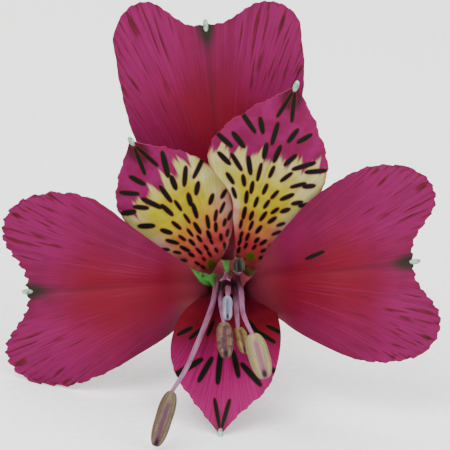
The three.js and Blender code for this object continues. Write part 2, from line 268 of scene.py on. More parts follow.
def colour(code):
    """An sRGB hex colour as linear light."""
    parts = [int(code[i : i + 2], 16) / 255 for i in (1, 3, 5)]
    return tuple(p / 12.92 if p <= 0.04045 else ((p + 0.055) / 1.055) ** 2.4 for p in parts) + (1,)


def new_material(name):
    """A bare material with its Principled shader."""
    made = bpy.data.materials.new(name)
    made.use_nodes = True
    return made, made.node_tree.nodes["Principled BSDF"]


def node(material, kind, inputs=None, **settings):
    """Adds a shader node, sets it up and wires its inputs. An input is a value or a socket."""
    made = material.node_tree.nodes.new("ShaderNode" + kind)
    for key, value in settings.items():
        setattr(made, key, value)
    wire(material, made, inputs or {})
    return made


def wire(material, target, inputs):
    for key, value in inputs.items():
        if isinstance(value, bpy.types.NodeSocket):
            material.node_tree.links.new(value, target.inputs[key])
        else:
            target.inputs[key].default_value = value


def paint(material, base, layers):
    """Pigments laid over a base colour. Each layer is a mask, the mask values where its pigment
    begins and where it is full, its strength there, and the pigment."""
    for mask, begins, full, strength, pigment in layers:
        amount = node(
            material,
            "MapRange",
            {"Value": mask, "From Min": begins, "From Max": full, "To Max": strength},
            interpolation_type="SMOOTHSTEP",
        ).outputs["Result"]
        top = colour(pigment) if isinstance(pigment, str) else pigment
        base = node(material, "Mix", {0: amount, 6: base, 7: top}, data_type="RGBA").outputs[2]
    return base


def mottling(material, size, detail=3.0):
    """Even cloudiness in cells of this size in millimetres, the same from every side."""
    place = node(material, "TexCoord").outputs["Object"]
    made = node(material, "TexNoise", {"Vector": place, "Scale": 1 / (size * MM), "Detail": detail})
    return made.outputs["Fac"]


def streaks(material, span, wide, long, detail=3.0, seed=0.0, solid=False):
    """Noise drawn out along the veins, in cells of wide by long millimetres. span is half the
    organ's width, or its radius, and its length. solid makes it run round a stalk."""
    across, along = span[0] / wide, span[1] / long
    drawn = node(
        material,
        "Mapping",
        {
            "Vector": node(material, "Attribute", attribute_name="fan").outputs["Vector"],
            "Scale": (across, along, across if solid else 1.0),
            "Location": (seed, seed * 0.37, 0.0),
        },
    ).outputs["Vector"]
    made = node(material, "TexNoise", {"Vector": drawn, "Scale": 1.0, "Detail": detail})
    return made.outputs["Fac"]


def petal_finish(material, shader, relief):
    """The soft satin of a living petal: hardly any gloss, some light through the flesh, and veins
    that stand a tenth of a millimetre proud."""
    bump = node(material, "Bump", {"Height": relief, "Strength": 0.35, "Distance": 0.1 * MM})
    wire(
        material,
        shader,
        {
            "Normal": bump.outputs["Normal"],
            "Roughness": 0.6,
            "Subsurface Weight": 0.08,
            "Subsurface Scale": 0.4 * MM,
            "Specular IOR Level": 0.1,
        },
    )


def mucro_horn():
    """Plant horn: waxy, smooth and almost colourless, so it reads as pale mint."""
    material, shader = new_material("mucro_horn")
    mint = paint(
        material,
        colour("#4C6648"),
        [(mottling(material, 0.6), 0.3, 0.7, 1.0, "#8FAB9C")],
    )
    wire(material, shader, {"Base Color": mint, "Roughness": 0.35, "Subsurface Weight": 0.2})
    shader.inputs["Subsurface Scale"].default_value = 0.5 * MM
    return material


MUCRO_HORN = mucro_horn()

# ---- outer tepals -----------------------------------------------------------------------------
# The three outer tepals are the broad heart-shaped ones, above and at both sides. They open flat
# from a channelled claw, and their notched ends are finely toothed.

# Stations are [reach, rise, half width on the left looking outwards, half width on the right].
# lobes is how far each lobe runs past the notch, and curl how far each edge lifts, left then right.
# heart is how far the crimson heart lies off the midrib, and green_margin is 1 where the right edge
# of the claw has stayed green.
OUTER_TEPALS = {
    "outer_tepal_top": {
        "base": 90,
        "turn": 95,
        "stations": [
            [2.9, 0.9, 1.1, 1.1],
            [3.3, 6, 1.2, 1.2],
            [5.3, 11, 2.0, 2.0],
            [10, 14.5, 4.8, 5.2],
            [16, 17, 9.2, 9.4],
            [22, 19, 11.7, 12.0],
            [29, 20.5, 12.9, 13.5],
            [36.8, 21, 13.5, 13.5],
        ],
        "lobes": (4.0, 2.6),
        "curl": (-1.2, -1.2),
        "groove": 0.35,
        "ripple": 0.35,
        "ragged": 0.1,
        "mucro_out": -0.1,
        "heart": 0.0,
        "green_margin": 0.0,
    },
    "outer_tepal_left": {
        "base": 210,
        "turn": 183,
        "stations": [
            [2.9, 0.9, 1.1, 1.1],
            [3.2, 7, 1.8, 1.2],
            [4.6, 13, 3.3, 1.7],
            [8, 19, 7.0, 4.0],
            [13, 23, 9.8, 8.0],
            [18.5, 24.5, 12.2, 12.5],
            [24, 24.5, 13.6, 13.9],
            [28.6, 23, 13.2, 13.2],
        ],
        "lobes": (3.9, 3.2),
        "curl": (-1.2, 1.0),
        "groove": 0.35,
        "ripple": 0.35,
        "ragged": 0.3,
        "heart": 1.0,
        "green_margin": 1.0,
    },
    "outer_tepal_right": {
        "base": -30,
        "turn": 6,
        "stations": [
            [2.9, 0.9, 1.1, 1.1],
            [3.2, 7, 1.2, 2.0],
            [4.6, 13, 2.2, 4.0],
            [8, 19, 5.6, 7.8],
            [13, 23, 10.1, 11.1],
            [17.5, 24.5, 12.6, 13.1],
            [22, 24.5, 14.1, 13.8],
            [26.5, 23, 13.9, 13.6],
        ],
        "lobes": (4.3, 3.4),
        "curl": (1.0, -1.2),
        "groove": 0.35,
        "ripple": 0.35,
        "ragged": 0.2,
        "heart": -1.5,
        "green_margin": 0.0,
        "bold_dashes": [(11.5, 2.0, 14.0, 2.8, 0.55)],
    },
}

GREEN_MARGIN = 1.1  # how wide the green strip along a claw's margin is, in mm
GREEN_MIDDLE = 3.5  # its middle, by reach, and half its length
GREEN_HALF = 1.8
OUTER_SPAN = (13.5, 34.0)  # half the width and the length, in mm
FAR_OFF = 9.0  # millimetres from a dash where nothing of it shows


def dash_distance(reach, offset, dashes):
    """Millimetres from the rim of the nearest dash: a slim lens with rounded ends, inside negative."""
    nearest = np.full(reach.shape, FAR_OFF)
    for reach_1, offset_1, reach_2, offset_2, width in dashes:
        length = max(math.hypot(reach_2 - reach_1, offset_2 - offset_1), 0.05)
        x, y = (reach_2 - reach_1) / length, (offset_2 - offset_1) / length
        along = (reach - reach_1) * x + (offset - offset_1) * y
        part = np.clip(along / length, 0, 1)
        aside = np.hypot(reach - reach_1 - part * length * x, offset - offset_1 - part * length * y)
        taper = 0.55 + 0.45 * np.sqrt(np.maximum(1 - (2 * part - 1) ** 2, 0))
        nearest = np.minimum(nearest, aside - width / 2 * taper)
    return nearest


def outer_marks(spec):
    """The painted places of an outer tepal, each from 0 to 1, and its few bold dashes."""
    end = spec["stations"][-1][0]
    heart = spec["heart"]

    def marks(reach, offset, s, t):
        drift = 0.8 * noise_line(reach * 0.5, 3) + heart
        centre = np.exp(-(((offset - drift) / (2.6 + 0.26 * reach)) ** 2))
        beyond = smoothstep(reach, 0.6 * end, 1.0 * end)
        from_margin = (1 + t) * spline(spec["stations"], s)[..., 3]
        bulge = GREEN_MARGIN * (1 - ((reach - GREEN_MIDDLE) / GREEN_HALF) ** 2)
        green = np.where(t < 0, smoothstep(bulge - from_margin, -0.15, 0.15), 0)
        return {
            "crimson": centre * smoothstep(reach, 2, 8) * (1 - beyond),
            "throat": 1 - smoothstep(reach, 4.0, 10.5),
            "green": green * spec["green_margin"],
            "midrib": np.exp(-((offset / 0.5) ** 2)) * smoothstep(reach, 8, 0.8 * end),
            "smudge": np.exp(-np.maximum((end - reach) / 3.2, 0) ** 2 - (offset / 1.3) ** 2),
            "lobe": smoothstep(s, 0.6, 0.85) * smoothstep(np.abs(offset), 2.0, 6.0),
            "dash": dash_distance(reach, offset, spec.get("bold_dashes", [])),
        }

    return marks


def outer_skin():
    """Petal skin with anthocyanin sap: magenta, with a crimson heart, violet lobes and short dark
    streaks where the sap has gathered along the veins."""
    material, shader = new_material("outer_tepal_skin")
    names = ("crimson", "throat", "green", "midrib", "smudge", "lobe", "dash", "front")
    mark = {key: node(material, "Attribute", attribute_name=key).outputs["Fac"] for key in names}
    cloud = mottling(material, 5.0)
    vein = streaks(material, OUTER_SPAN, 0.34, 14.0)
    fine = streaks(material, OUTER_SPAN, 0.2, 5.0, detail=4.0, seed=1.7)
    short = streaks(material, OUTER_SPAN, 0.3, 3.4, detail=1.0, seed=3.1)
    skin = paint(
        material,
        colour("#580830"),
        [
            (cloud, 0.35, 0.65, 1.0, "#620A36"),
            (mark["lobe"], 0.0, 1.0, 0.75, "#670B42"),
            (mark["crimson"], 0.0, 1.0, 0.85, "#5E0714"),
            (vein, 0.5, 0.72, 0.45, "#4E0620"),
            (vein, 0.44, 0.3, 0.14, "#8A2260"),
            (fine, 0.52, 0.66, 0.35, "#43061F"),
            (short, 0.55, 0.64, mark["lobe"], "#4C0A1C"),
            (short, 0.67, 0.74, mark["lobe"], "#2C0A0C"),
            (mark["midrib"], 0.0, 1.0, 0.3, "#33101A"),
            (mark["throat"], 0.0, 1.0, 0.6, "#7A303A"),
            (mark["green"], 0.2, 0.8, 1.0, "#4FB34A"),
            (mark["smudge"], 0.0, 0.8, 0.9, "#141A0E"),
            (mark["dash"], 0.1, -0.06, 1.0, "#060805"),
        ],
    )
    back = paint(
        material,
        colour("#6C214A"),
        [
            (vein, 0.4, 0.65, 1.0, "#571438"),
            (mark["lobe"], 0.0, 1.0, 0.4, "#80315D"),
            (mark["midrib"], 0.0, 1.0, 0.6, "#48542B"),
            (mark["throat"], 0.0, 1.0, 0.8, "#546031"),
        ],
    )
    skin = paint(material, back, [(mark["front"], 0.4, 0.6, 1.0, skin)])
    wire(material, shader, {"Base Color": skin})
    petal_finish(material, shader, vein)
    return material


OUTER_SKIN = outer_skin()
for name, spec in OUTER_TEPALS.items():
    tepal = make_tepal(name, spec, [OUTER_SKIN, MUCRO_HORN], outer_marks(spec))

# ---- inner tepals -----------------------------------------------------------------------------
# The two upper inner tepals stand up as guides for insects: salmon at the foot, then a yellow
# blotch with near-black dashes along the veins, and a magenta tip. The lower one is a plain
# magenta keel with long dark stripes.

# The rows read as for the outer tepals. green_claw is how green the very foot has stayed, 0 to 1.
INNER_TEPALS = {
    "inner_tepal_left": {
        "base": 150,
        "turn": 124.5,
        "stations": [
            [2.6, 0.9, 1.0, 1.0],
            [2.8, 7, 1.3, 1.3],
            [3.6, 13, 2.8, 3.0],
            [7.5, 17.5, 5.2, 6.2],
            [12, 21, 6.9, 7.6],
            [16.5, 24.5, 7.1, 6.4],
            [20.5, 28, 4.3, 3.3],
            [23.4, 31, 0.4, 0.4],
        ],
        "lobes": (0, 0),
        "curl": (-1.6, -0.6),
        "green_claw": 0.3,
        "groove": 0.3,
        "ripple": 0.25,
        "ragged": 0.3,
    },
    "inner_tepal_right": {
        "base": 30,
        "turn": 71,
        "stations": [
            [2.6, 0.9, 1.0, 1.0],
            [2.8, 7, 1.2, 2.2],
            [4.2, 13, 1.3, 3.7],
            [8.5, 18, 2.2, 5.6],
            [12, 21.5, 3.7, 7.5],
            [15.6, 24.5, 8.1, 8.4],
            [19.8, 28.3, 8.2, 7.7],
            [24.6, 32, 4.4, 4.2],
            [28.3, 34.5, 0.4, 0.4],
        ],
        "lobes": (0, 0),
        "curl": (0.8, -1.6),
        "green_claw": 0.4,
        "groove": 0.3,
        "ripple": 0.25,
        "ragged": 0.35,
    },
    "inner_tepal_lower": {
        "base": 270,
        "turn": 267,
        "stations": [
            [2.6, 0.9, 1.0, 1.0],
            [2.8, 7, 3.3, 2.3],
            [3.8, 14.2, 6.7, 4.3],
            [7, 21, 7.9, 6.8],
            [11, 26, 7.6, 7.6],
            [14.5, 29.5, 6.3, 6.4],
            [17.8, 32, 2.9, 3.2],
            [20.6, 33.5, 0.35, 0.35],
        ],
        "lobes": (0, 0),
        "curl": (0.2, 1.6),
        "green_claw": 0.0,
        "groove": 0.3,
        "ripple": 0.25,
        "ragged": 0.3,
    },
}

# Dashes stand in staggered rows up the blade, each on its vein. These are their sizes in mm at the
# foot of the blade and at its tip, so they grow from dots into long strokes.
GUIDE_DASHES = {
    "length": (0.35, 3.2),
    "width": (0.34, 0.8),
    "pitch": (0.9, 3.7),
    "spacing": (0.95, 2.3),
}
KEEL_STRIPES = {
    "length": (2.8, 4.8),
    "width": (0.6, 0.95),
    "pitch": (5.0, 5.4),
    "spacing": (1.9, 2.5),
}
SPLAY = 3.8  # this far from the midrib a vein leans out at 45 degrees
BRANCH = 3.6  # two dark veins join at the point of the tip over this length
BRANCH_ASIDE = (1.1, 0.2)  # how far they stand from the midrib where they begin and where they end
BRANCH_WIDTH = 0.55
PIT_RADIUS = 0.9  # the nectar pit, which no dash crosses


def vein_dashes(spec, sizes, first, fill, seed, pit):
    """Dashes from reach first to the tip, as (reach, offset) of both ends and a width."""
    rng = np.random.default_rng(seed)
    reaches, _, left, right = np.array(spec["stations"]).T
    last = reaches[-1] - BRANCH
    dashes = []
    reach, row = first, 0
    while reach < last:
        grown = (reach - first) / (last - first)
        now = {key: foot + (tip - foot) * grown for key, (foot, tip) in sizes.items()}
        pitch, spacing = now["pitch"], now["spacing"]
        start = -np.interp(reach, reaches, right) + spacing * (0.5 + 0.5 * (row % 2))
        for offset in np.arange(start, np.interp(reach, reaches, left) - 0.4, spacing):
            middle = reach + rng.uniform(-0.16, 0.16) * pitch
            aside = offset + rng.uniform(-0.16, 0.16) * spacing
            lean = math.atan(math.copysign((abs(aside) / SPLAY) ** 1.6, aside))
            half = 0.5 * now["length"] * rng.uniform(0.7, 1.25)
            run, swing = half * math.cos(lean), half * math.sin(lean)
            kept = rng.uniform() < fill
            broad = now["width"] * rng.uniform(0.8, 1.15)
            clear = math.hypot(middle - pit[0], aside - pit[1]) > PIT_RADIUS + half
            if kept and clear:
                dashes.append((middle - run, aside - swing, middle + run, aside + swing, broad))
        reach += pitch
        row += 1
    for side in (-1, 1):
        end = reaches[-1] - 0.5
        begins, ends = (aside * side for aside in BRANCH_ASIDE)
        dashes.append((end - BRANCH, begins, end, ends, BRANCH_WIDTH))
    return dashes


def inner_marks(spec, dashes, tip_from, pit):
    """The painted places of an inner tepal. tip_from is where its magenta tip begins."""
    end = spec["stations"][-1][0]

    def marks(reach, offset, s, t):
        tongues = 1.1 * noise_line(offset * 2.4, 11)
        pale = smoothstep(np.abs(t), 0.35, 0.95)
        return {
            "reach": reach,
            "tip": smoothstep(reach + tongues + 1.2 * t, tip_from - 0.7, tip_from + 0.9),
            "wine": smoothstep(reach, end - 4.0, end - 1.2) * np.exp(-((offset / 1.4) ** 2)),
            "pale": pale * smoothstep(reach, 5, 10),
            "rim": smoothstep(np.abs(t), 0.93, 1.0),
            "keel": (1 - smoothstep(reach, 2.75, 3.1)) * spec["green_claw"],
            "pit": np.hypot(reach - pit[0], offset - pit[1]),
            "dash": dash_distance(reach, offset, dashes),
        }

    return marks


def dark_dashes(material, skin, dash, tip):
    """Near-black dashes with a thin wine-red bleed, greener where the skin is magenta."""
    ink = paint(material, colour("#020106"), [(tip, 0.0, 1.0, 1.0, "#030A05")])
    bleed = (dash, 0.24, 0.02, 0.75, "#5E0C12")
    return paint(material, skin, [bleed, (dash, 0.07, -0.05, 1.0, ink)])


GUIDE_SPAN = (8.0, 32.0)  # half the width and the length, in mm


def guide_skin():
    """Petal skin that guides insects: a salmon foot, a yellow blotch of carotene that pales to
    cream, a magenta tip and dark dashes of thick sap."""
    material, shader = new_material("guide_tepal_skin")
    names = ("reach", "tip", "wine", "pale", "rim", "keel", "pit", "dash", "front")
    mark = {key: node(material, "Attribute", attribute_name=key).outputs["Fac"] for key in names}
    vein = streaks(material, GUIDE_SPAN, 0.24, 13.0)
    cloud = mottling(material, 2.4)
    hues = {
        "foot": ("#80262A", "#95403C"),
        "orange": ("#8C5420", "#956C28"),
        "yellow": ("#857B06", "#989212"),
        "cream": ("#999850", "#A8A378"),
        "blush": ("#97645C", "#A6807A"),
        "magenta": ("#600836", "#6E0F48"),
    }
    hue = {}
    for key, (deep, light) in hues.items():
        hue[key] = paint(material, colour(deep), [(cloud, 0.3, 0.7, 1.0, light)])
    margin = paint(material, hue["blush"], [(mark["reach"], 9.0, 13.0, 1.0, hue["cream"])])
    skin = paint(
        material,
        hue["foot"],
        [
            (mark["reach"], 6.0, 9.5, 1.0, hue["orange"]),
            (mark["reach"], 9.0, 12.0, 1.0, hue["yellow"]),
            (mark["pale"], 0.0, 1.0, 0.85, margin),
            (mark["reach"], 14.0, 18.0, 0.75, hue["cream"]),
            (mark["tip"], 0.0, 1.0, 1.0, hue["magenta"]),
            (mark["wine"], 0.0, 0.7, 0.92, "#2E0814"),
            (vein, 0.5, 0.72, 0.3, "#5E1316"),
            (mark["rim"], 0.0, 1.0, 0.6, "#740C30"),
            (mark["keel"], 0.2, 0.8, 1.0, "#4FB34A"),
            (mark["pit"], PIT_RADIUS, 0.4 * PIT_RADIUS, 1.0, "#3C4A0C"),
        ],
    )
    skin = dark_dashes(material, skin, mark["dash"], mark["tip"])
    back = paint(
        material,
        colour("#8A6250"),
        [
            (mark["tip"], 0.0, 1.0, 1.0, "#752A54"),
            (vein, 0.45, 0.7, 0.4, "#622040"),
            (mark["keel"], 0.2, 0.8, 1.0, "#4A7A38"),
        ],
    )
    skin = paint(material, back, [(mark["front"], 0.4, 0.6, 1.0, skin)])
    wire(material, shader, {"Base Color": skin})
    petal_finish(material, shader, vein)
    return material


def keel_skin():
    """Petal skin of the lowest tepal: crimson at the foot, magenta beyond, long dark stripes."""
    material, shader = new_material("keel_tepal_skin")
    names = ("reach", "tip", "wine", "dash", "front")
    mark = {key: node(material, "Attribute", attribute_name=key).outputs["Fac"] for key in names}
    vein = streaks(material, GUIDE_SPAN, 0.24, 13.0)
    cloud = mottling(material, 4.0)
    skin = paint(
        material,
        colour("#4C060E"),
        [
            (cloud, 0.3, 0.7, 1.0, "#5C0B17"),
            (mark["reach"], 6.5, 12.5, 1.0, "#780C49"),
            (vein, 0.48, 0.68, 0.5, "#480622"),
            (vein, 0.44, 0.3, 0.3, "#8C1C62"),
            (mark["wine"], 0.0, 1.0, 0.5, "#4E0A30"),
        ],
    )
    skin = dark_dashes(material, skin, mark["dash"], mark["tip"])
    back = paint(material, colour("#752A54"), [(vein, 0.4, 0.65, 1.0, "#5E1A3E")])
    skin = paint(material, back, [(mark["front"], 0.4, 0.6, 1.0, skin)])
    wire(material, shader, {"Base Color": skin})
    petal_finish(material, shader, vein)
    return material


GUIDE_SKIN, KEEL_SKIN = guide_skin(), keel_skin()
# Each one's skin, the sizes of its dashes and where they begin, how many are there, a seed, where
# its magenta tip begins, and its nectar pit
INNER_PAINT = {
    "inner_tepal_left": (GUIDE_SKIN, GUIDE_DASHES, 2.8, 0.88, 21, 16.8, (3.5, 0.75)),
    "inner_tepal_right": (GUIDE_SKIN, GUIDE_DASHES, 2.8, 0.88, 22, 18.4, (4.5, -2.0)),
    "inner_tepal_lower": (KEEL_SKIN, KEEL_STRIPES, 7.2, 0.9, 23, 5.0, (0, 0)),
}
for name, spec in INNER_TEPALS.items():
    skin, sizes, first, fill, seed, tip_from, pit = INNER_PAINT[name]
    dashes = vein_dashes(spec, sizes, first, fill, seed, pit)
    marks = inner_marks(spec, dashes, tip_from, pit)
    tepal = make_tepal(name, spec, [skin, MUCRO_HORN], marks, rows=260, columns=120)

# ---- stalk and ovary --------------------------------------------------------------------------
# The flower stands on a thin green pedicel, cut square at its lower end. The ovary between the two
# is a ribbed green capsule of three seed chambers, and the floor of the flower closes its top.

PEDICEL_LENGTH = 17.0
PEDICEL_SWAY = (4.6, -2.6)
PEDICEL_RADII = [1.3, 1.16, 1.12, 1.12, 1.16]
OVARY_LENGTH = 7.2
OVARY_RADIUS = 3.8
OVARY_OUTLINE = [0.42, 0.72, 0.96, 1.0, 0.98, 0.9]
OVARY_RIBS = 6
OVARY_TOP = 0.35  # how high its top stands above the flower frame's origin
STALK_GAP = 0.35  # air between stalk and ovary in the solid model
STALK_RISE = 0.2  # the stalk reaches this much further up than its solid


def tube(points, radii, rows=60, count=24):
    """Rings along a smooth curve through points, carried along it without twist."""
    s = np.linspace(0, 1, rows)
    line, radius = spline(points, s), spline(radii, s)[:, 0]
    along = unit(np.gradient(line, axis=0))
    angle = np.linspace(0, 2 * math.pi, count, endpoint=False)[:, None]
    side = unit(np.cross(along[0], [0.3, 1, 0.2]))
    rings = []
    for point, direction, wide in zip(line, along, radius):
        side = unit(side - direction * (side @ direction))
        other = np.cross(direction, side)
        rings.append(point + wide * (np.cos(angle) * side + np.sin(angle) * other))
    return np.array(rings)


def make_organ(name, rings, material, slot, **values):
    """A round organ made of rings, riding on the flower in place of its solid."""
    rows, count = rings.shape[:2]
    along = np.linspace(0, 1, rows)[:, None] * np.ones(count)
    angle = np.linspace(0, 2 * math.pi, count, endpoint=False) * np.ones((rows, 1))
    marks = {key: value.ravel() for key, value in values.items()}
    marks["along"] = along.ravel()
    marks["fan"] = np.stack([np.cos(angle), along, np.sin(angle)], -1).reshape(-1, 3)
    made = make_object(name, rings, ring_faces(rows, count), [material], values=marks)
    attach(made, "root")
    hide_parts(name)
    return made


def stalk_skin(name, span, ridge_width, greens, flush):
    """Living green skin: waxy, ridged lengthways, with a faint wine flush."""
    material, shader = new_material(name)
    ridge = streaks(material, span, ridge_width, span[1] / 2.5, solid=True)
    floor = node(material, "Attribute", attribute_name="floor").outputs["Fac"]
    green_side = node(material, "Attribute", attribute_name="green_side").outputs["Fac"]
    skin = paint(
        material,
        colour(greens[0]),
        [
            (ridge, 0.35, 0.65, 1.0, greens[1]),
            (mottling(material, 0.9), 0.4, 0.7, 0.25, flush),
            # The floor of the flower over the ovary's top is painted a light rose: its own wine red,
            # lightened as painted light in the deep throat.
            (floor, 0.2, 0.8, 1.0, "#A03A4C"),
            (green_side, 0.3, 0.7, floor, "#57B34C"),
        ],
    )
    relief = node(material, "Bump", {"Height": ridge, "Strength": 0.4, "Distance": 0.15 * MM})
    wire(material, shader, {"Base Color": skin, "Normal": relief.outputs["Normal"]})
    shader.inputs["Roughness"].default_value = 0.42
    shader.inputs["Subsurface Weight"].default_value = 0.12
    shader.inputs["Subsurface Scale"].default_value = 0.5 * MM
    return material


def ovary_rings(rows=70, floor_rows=14, count=96):
    """The capsule's side from its foot to its shoulder, then the floor of the flower over its top."""
    part = np.concatenate([np.linspace(0, 1, rows), np.ones(floor_rows)])[:, None]
    inward = np.concatenate([np.ones(rows), np.linspace(1, 0.06, floor_rows + 1)[1:]])[:, None]
    angle = np.linspace(0, 2 * math.pi, count, endpoint=False)[None, :]
    swell = OVARY_RADIUS * spline(OVARY_OUTLINE, part)[..., 0] * inward
    ribs = 0.07 * np.cos(OVARY_RIBS * angle) + 0.008 * np.cos(5 * OVARY_RIBS * angle)
    radius = swell * (1 + ribs)
    height = OVARY_LENGTH * (part - 1) + OVARY_TOP + 0 * angle
    rings = np.stack([radius * np.cos(angle), radius * np.sin(angle), height], -1)
    floor = (inward < 1) + 0.0 * angle
    side = np.exp(-(((np.degrees(angle) - 192) / 34) ** 2))
    top = np.exp(-(((np.degrees(angle) - 97) / 14) ** 2))
    green_side = (side + top) * smoothstep(radius, 0.2, 0.8)
    return rings, floor, green_side


bends = np.linspace(0, 1, 9)[:, None]
pedicel_top = STALK_RISE - OVARY_LENGTH - STALK_GAP
pedicel_heights = pedicel_top - (PEDICEL_LENGTH + STALK_RISE) * bends
pedicel_line = np.concatenate([bends**1.6 * PEDICEL_SWAY, pedicel_heights], 1)
pedicel_span = (PEDICEL_RADII[0], PEDICEL_LENGTH)
stalk = stalk_skin("pedicel_skin", pedicel_span, 0.35, ("#5E8A34", "#86AD55"), "#8A4A3C")
make_organ("pedicel", tube(pedicel_line, PEDICEL_RADII, 110, 28), stalk, "green_stalk")
ovary_span = (OVARY_RADIUS, OVARY_LENGTH)
capsule = stalk_skin("ovary_skin", ovary_span, 0.6, ("#4C8C38", "#79B45A"), "#7A5A34")
ovary, floor, green_side = ovary_rings()
make_organ("ovary", ovary, capsule, "green_stalk", floor=floor, green_side=green_side)

# ---- bract ------------------------------------------------------------------------------------
# One small green leaf stands beside the ovary. It is the same tissue as a foliage leaf, glossy
# in front with fine parallel veins.

BRACT = {
    "base": 172,
    "turn": 172,
    "stations": [
        [1.7, -8.6, 0.7, 0.7],
        [OVARY_RADIUS + 0.4, -6.0, 1.5, 1.5],
        [OVARY_RADIUS + 1.05, -1.5, 2.4, 2.4],
        [OVARY_RADIUS + 1.6, 2.5, 1.9, 1.9],
        [OVARY_RADIUS + 2.3, 6.0, 0.4, 0.4],
    ],
    "lobes": (0, 0),
    "curl": (0.5, 0.5),
    "groove": 0.15,
    "ripple": 0.08,
    "ragged": 0.0,
}


def leaf_skin():
    """Leaf skin: chlorophyll green in two depths along parallel veins, with a waxy gloss."""
    material, shader = new_material("bract_leaf_skin")
    veins = streaks(material, (2.4, 15.0), 0.15, 15.0)
    leaf = paint(material, colour("#2F8E34"), [(veins, 0.4, 0.62, 1.0, "#5CC256")])
    relief = node(material, "Bump", {"Height": veins, "Strength": 0.4, "Distance": 0.1 * MM})
    wire(material, shader, {"Base Color": leaf, "Normal": relief.outputs["Normal"]})
    shader.inputs["Roughness"].default_value = 0.38
    return material


LEAF_SKIN = leaf_skin()
skins = [LEAF_SKIN, LEAF_SKIN]
bract = make_tepal("bract", BRACT, skins, lambda *place: {}, 90, 40, mucro_length=0.7)

# ---- stamens ----------------------------------------------------------------------------------
# Six filaments stand in a ring on the floor of the flower and droop forwards. Each carries one
# anther of two long pollen sacs with a seam between them. They ripen one after the other, so
# their colours run from blue-grey and dark purple to dusty tan.

FILAMENT_RING = 1.5
FILAMENT_FEET = (180, 270, 225, 315, 0, 60)
FILAMENT_BENDS = (
    [(-1.8, -1.1, 12), (-2.5, -4.2, 20), (-5.4, -11.0, 34.5)],
    [(0, -1.2, 12), (0, -1.5, 20)],
    [(-1.1, -2.1, 12), (-1.0, -3.6, 20)],
    [(1.1, -2.1, 12), (1.2, -4.0, 20)],
    [(1.8, -1.2, 12), (1.9, -1.9, 22), (2.1, -4.4, 30)],
    [(1.5, 0.9, 12)],
)
FILAMENT_RADII = [0.46, 0.42, 0.38, 0.28]

# The colours of each anther's sacs, rims, seam and mottling, how far it bows, how deep its waist is,
# and how strong the mottling is
ANTHER_SKINS = (
    ("#4A3C2C", "#665A44", "#42243A", "#3E2A33", 0.25, 0.05, 0.3),
    ("#5D6072", "#858896", "#33344A", "#4A4C5E", 0.10, 0.16, 0.3),
    ("#5A4436", "#725C40", "#3A1A2C", "#35202E", 0.20, 0.05, 0.75),
    ("#66552F", "#7E7048", "#401410", "#3E1C14", 0.55, 0.05, 0.4),
    ("#6C643F", "#837C56", "#643050", "#6A5540", 0.20, 0.05, 0.2),
    ("#2A1820", "#4B523D", "#150810", "#1E1418", 0.15, 0.05, 0.5),
)
FILAMENT_SPAN = (0.42, 38.0)
ANTHER_SPAN = (1.2, 7.0)


def filament_skin():
    """Filament skin: wet and mauve, turning wine red down in the throat."""
    material, shader = new_material("filament_skin")
    along = node(material, "Attribute", attribute_name="along").outputs["Fac"]
    grain = streaks(material, FILAMENT_SPAN, 0.2, 3.0, solid=True)
    mauve = paint(material, colour("#72405F"), [(grain, 0.35, 0.65, 1.0, "#8A5F7A")])
    skin = paint(material, colour("#6E2E48"), [(along, 0.1, 0.5, 1.0, mauve)])
    wire(material, shader, {"Base Color": skin, "Roughness": 0.4, "Subsurface Weight": 0.15})
    shader.inputs["Subsurface Scale"].default_value = 0.4 * MM
    shader.inputs["Specular IOR Level"].default_value = 0.3
    return material


def pollen_sac_skin(name, sac, rim, seam, mottle, mottled):
    """Anther skin: matt and dusty with ripe pollen, darker along the seam where the sacs split.
    Pollen grains are a twentieth of a millimetre, and are drawn five times as coarse to show."""
    material, shader = new_material(name)
    names = ("seam", "edge", "split")
    mark = {key: node(material, "Attribute", attribute_name=key).outputs["Fac"] for key in names}
    dust = mottling(material, 0.25)
    grain = streaks(material, ANTHER_SPAN, 0.35, 4.5, solid=True)
    skin = paint(
        material,
        colour(sac),
        [
            (grain, 0.35, 0.65, 1.0, rim),
            (mottling(material, 0.7, 2.0), 0.48, 0.62, mottled, mottle),
            (dust, 0.5, 0.66, 0.25, seam),
            (mark["seam"], 0.0, 1.0, 0.8, seam),
            (mark["edge"], 0.0, 1.0, 0.3, "#2A2018"),
            (mark["split"], 0.0, 0.8, 0.95, "#1C0616"),
        ],
    )
    relief = node(material, "Bump", {"Height": dust, "Strength": 0.5, "Distance": 0.1 * MM})
    wire(material, shader, {"Base Color": skin, "Normal": relief.outputs["Normal"]})
    shader.inputs["Roughness"].default_value = 0.85
    shader.inputs["Specular IOR Level"].default_value = 0.2
    return material


